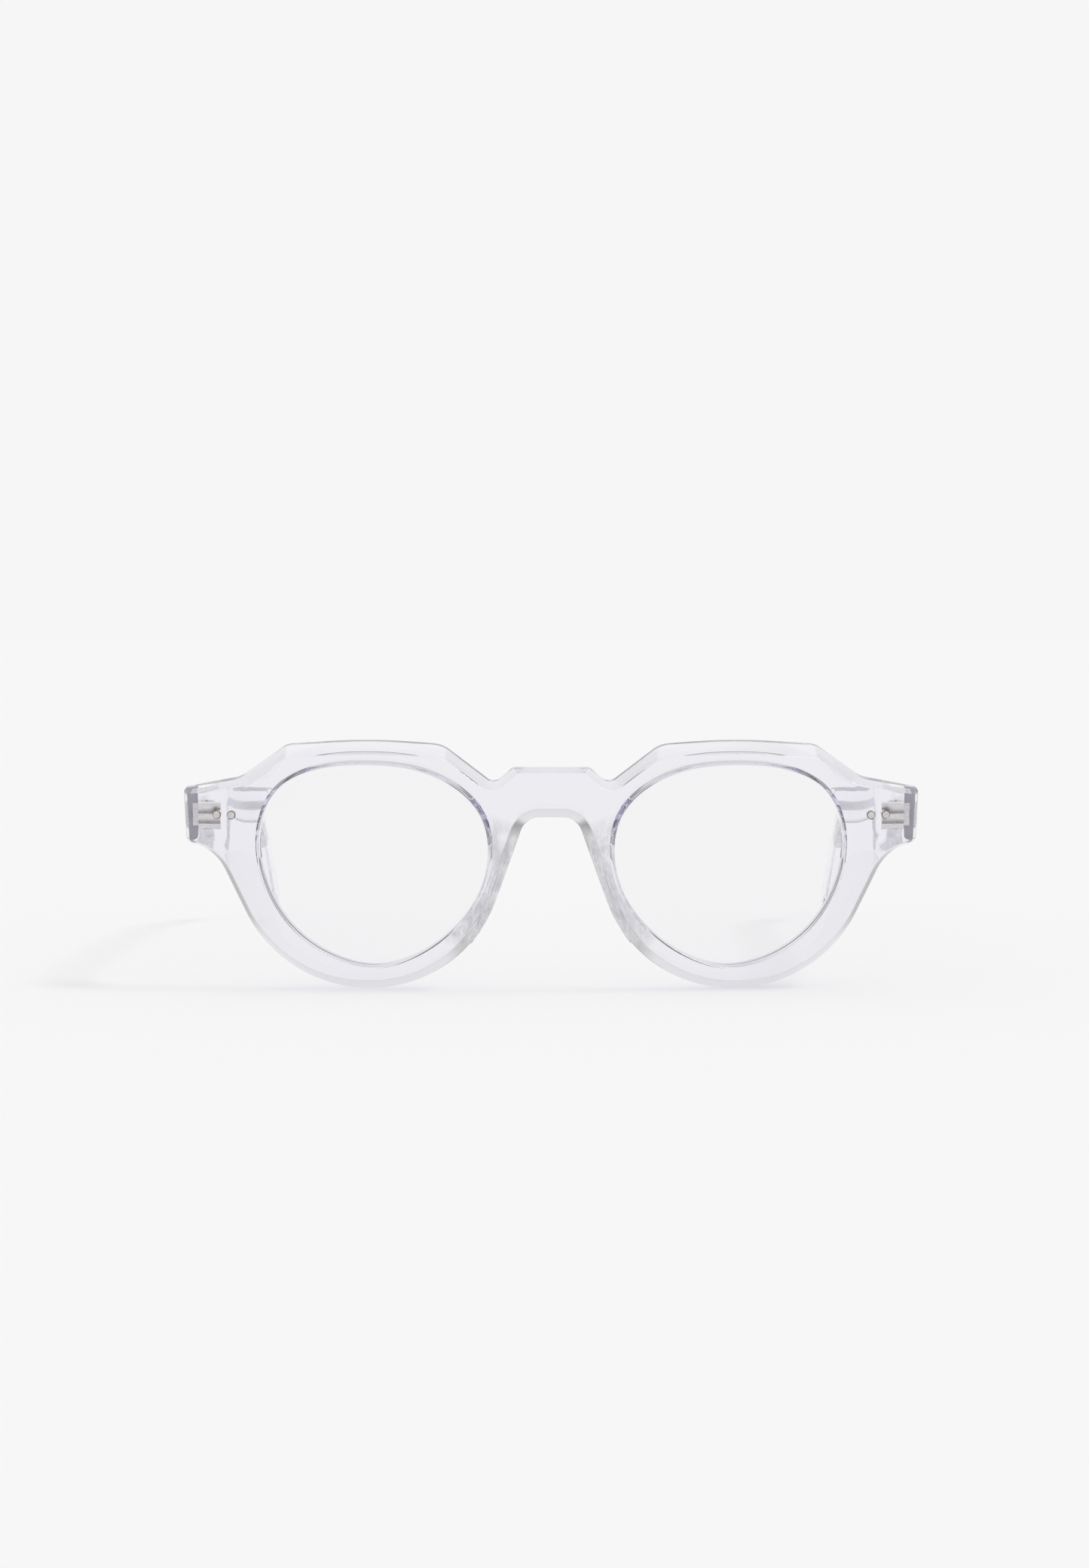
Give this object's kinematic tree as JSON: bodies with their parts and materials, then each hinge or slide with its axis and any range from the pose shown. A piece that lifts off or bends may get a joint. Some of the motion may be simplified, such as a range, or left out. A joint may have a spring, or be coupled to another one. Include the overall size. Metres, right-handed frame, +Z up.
{
  "type": "spectacles",
  "caption": "Round spectacles with a clear bevelled plastic front, curved lenses, bonded nose pads and folding temples with hooked ends.",
  "frame": {"origin": "middle of the footprint, on the surface that the rims and the temple tips stand on", "axes": "+X towards the wearer's left, +Y back along the temples, +Z up"},
  "size_m": [0.144, 0.1458, 0.0488],
  "materials": {
    "front_acetate": "polished clear acetate",
    "temple_acetate": "polished clear acetate",
    "lens": "polished clear resin",
    "hinge_metal": "satin nickel silver",
    "screw_metal": "turned steel",
    "core_metal": "drawn nickel silver",
    "pin_metal": "polished flush"
  },
  "bodies": {
    "front": {"frame_front": "front_acetate", "lens_left": "lens", "nose_pad_left": "front_acetate", "front_hinge_left": "hinge_metal", "hinge_screw_left": "screw_metal", "outer_pin_left": "pin_metal", "inner_pin_left": "pin_metal", "lens_right": "lens", "nose_pad_right": "front_acetate", "front_hinge_right": "hinge_metal", "hinge_screw_right": "screw_metal", "outer_pin_right": "pin_metal", "inner_pin_right": "pin_metal"},
    "temple_left": {"temple_left": "temple_acetate", "temple_core_left": "core_metal", "temple_hinge_left": "hinge_metal"},
    "temple_right": {"temple_right": "temple_acetate", "temple_core_right": "core_metal", "temple_hinge_right": "hinge_metal"}
  },
  "joints": [
    {"name": "temple_fold_left", "type": "hinge", "parent": "front", "child": "temple_left", "pos_m": [0.06708, -0.05735, 0.034], "axis": [0, -0.0605, 0.9982], "range_deg": [0, 88]},
    {"name": "temple_fold_right", "type": "hinge", "parent": "front", "child": "temple_right", "pos_m": [-0.06708, -0.05735, 0.034], "axis": [0, 0.0605, -0.9982], "range_deg": [0, 80]}
  ]
}
